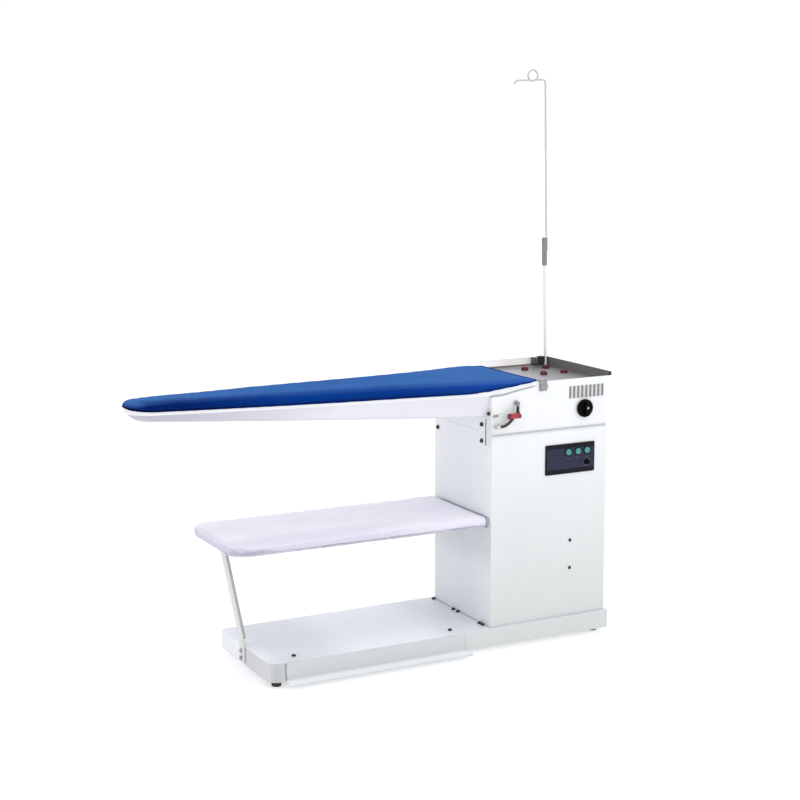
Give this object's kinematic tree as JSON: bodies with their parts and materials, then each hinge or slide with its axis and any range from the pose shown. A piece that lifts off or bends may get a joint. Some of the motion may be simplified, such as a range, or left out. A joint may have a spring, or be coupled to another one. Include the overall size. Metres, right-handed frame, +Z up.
{
  "type": "industrial ironing table",
  "caption": "Suction ironing table: tapered padded board on a control cabinet, garment shelf, foot pedal on a sheet base, iron tray and swivelling hose mast.",
  "frame": {"origin": "on the floor under the middle of the bounding box", "axes": "+X along the board towards the cabinet, -Y the operator's front, +Z up"},
  "size_m": [1.5606, 0.427, 1.8141],
  "materials": {
    "paint": "white powder coat",
    "paint_grey": "light grey powder coat",
    "stainless": "brushed",
    "zinc": "zinc plated",
    "aluminium": "as cast",
    "cast": "satin grey",
    "rubber": "matte",
    "hose_rubber": "satin",
    "black_plastic": "satin",
    "black_steel": "blackened",
    "panel": "dark film",
    "green_lamp": "translucent green",
    "red_plastic": "gloss",
    "red_silicone": "satin",
    "blue_cloth": "woven padded cover",
    "white_cloth": "woven cotton",
    "grey_plastic": "satin",
    "heater": "dull",
    "spring": "bright"
  },
  "bodies": {
    "frame": {"base_pan": "paint", "board_heater": "heater", "board_pad": "blue_cloth", "board_plate": "stainless", "board_rim": "paint", "board_tub": "paint", "cabinet_back_panel": "paint", "cabinet_shell": "paint", "cable_gland": "black_plastic", "control_panel": "panel", "fan_housing": "zinc", "fan_motor": "cast", "foot_front_left": "rubber", "foot_front_right": "rubber", "foot_rear_left": "rubber", "foot_rear_right": "rubber", "front_screw_lower": "black_steel", "front_screw_upper": "black_steel", "hose_barb": "zinc", "iron_tray": "stainless", "joint_frame": "paint_grey", "mast_bracket": "cast", "motor_bracket": "zinc", "pedal_bracket_left": "zinc", "pedal_bracket_right": "zinc", "pedal_hinge_rod": "zinc", "pedal_screw_left": "black_steel", "pedal_screw_right": "black_steel", "pedal_spring": "spring", "pedal_switch": "black_plastic", "rest_stud_1": "red_silicone", "rest_stud_2": "red_silicone", "rest_stud_3": "red_silicone", "rest_stud_4": "red_silicone", "shelf_cleat": "paint", "shelf_cloth": "white_cloth", "shelf_frame": "paint", "shelf_strut": "paint", "side_screw_front": "black_steel", "side_screw_rear": "black_steel", "strut_bolt_lower": "zinc", "strut_bolt_upper": "zinc", "thermostat_body": "grey_plastic", "top_casing": "paint", "tray_clip": "zinc", "valve_body": "black_plastic", "valve_elbow": "zinc", "valve_hose": "hose_rubber", "valve_plate": "paint_grey"},
    "pedal": {"pedal_plate": "paint"},
    "mast_lower": {"mast_tube": "paint", "mast_coupling": "grey_plastic"},
    "mast_upper": {"mast_rod": "paint"},
    "rocker_1": {"switch_rocker_1": "green_lamp"},
    "rocker_2": {"switch_rocker_2": "green_lamp"},
    "rocker_3": {"switch_rocker_3": "green_lamp"},
    "fuse": {"fuse_cap": "black_plastic"},
    "knob": {"thermostat_knob": "black_plastic"},
    "lever": {"valve_lever": "red_plastic"},
    "rotor": {"fan_impeller": "aluminium"}
  },
  "joints": [
    {"name": "pedal_press", "type": "hinge", "parent": "frame", "child": "pedal", "pos_m": [-0.0625, -0.1295, 0.051], "axis": [1, 0, 0], "range_deg": [0, 4], "stiffness_Nm_per_rad": 60, "springref_deg": -6.88, "deforming": ["pedal_spring"]},
    {"name": "mast_swivel", "type": "hinge", "parent": "frame", "child": "mast_lower", "pos_m": [0.7505, 0.1755, 0.856], "axis": [-0.0248, 0, 0.9997], "range_deg": [-170, 170]},
    {"name": "mast_flex", "type": "hinge", "parent": "mast_lower", "child": "mast_upper", "pos_m": [0.74779, 0.1755, 1.2675], "axis": [0, 1, 0], "range_deg": [-15, 15], "stiffness_Nm_per_rad": 6},
    {"name": "rocker_1_tip", "type": "hinge", "parent": "frame", "child": "rocker_1", "pos_m": [0.6175, -0.1761, 0.616], "axis": [1, 0, 0], "range_deg": [0, 14]},
    {"name": "rocker_2_tip", "type": "hinge", "parent": "frame", "child": "rocker_2", "pos_m": [0.6535, -0.1761, 0.616], "axis": [1, 0, 0], "range_deg": [0, 14]},
    {"name": "rocker_3_tip", "type": "hinge", "parent": "frame", "child": "rocker_3", "pos_m": [0.6875, -0.1761, 0.6165], "axis": [1, 0, 0], "range_deg": [0, 14]},
    {"name": "fuse_cap_turn", "type": "hinge", "parent": "frame", "child": "fuse", "pos_m": [0.6865, -0.1721, 0.579], "axis": [0, 1, 0], "range_deg": [0, 60]},
    {"name": "thermostat_turn", "type": "hinge", "parent": "frame", "child": "knob", "pos_m": [0.6755, -0.1721, 0.753], "axis": [0, -1, 0], "range_deg": [-270, 0]},
    {"name": "valve_lever_turn", "type": "hinge", "parent": "frame", "child": "lever", "pos_m": [0.4205, -0.2005, 0.7535], "axis": [0, 1, 0], "range_deg": [-90, 0]},
    {"name": "fan_spin", "type": "hinge", "parent": "frame", "child": "rotor", "pos_m": [0.5505, 0.0105, 0.486], "axis": [0, 0, 1], "continuous": true}
  ]
}
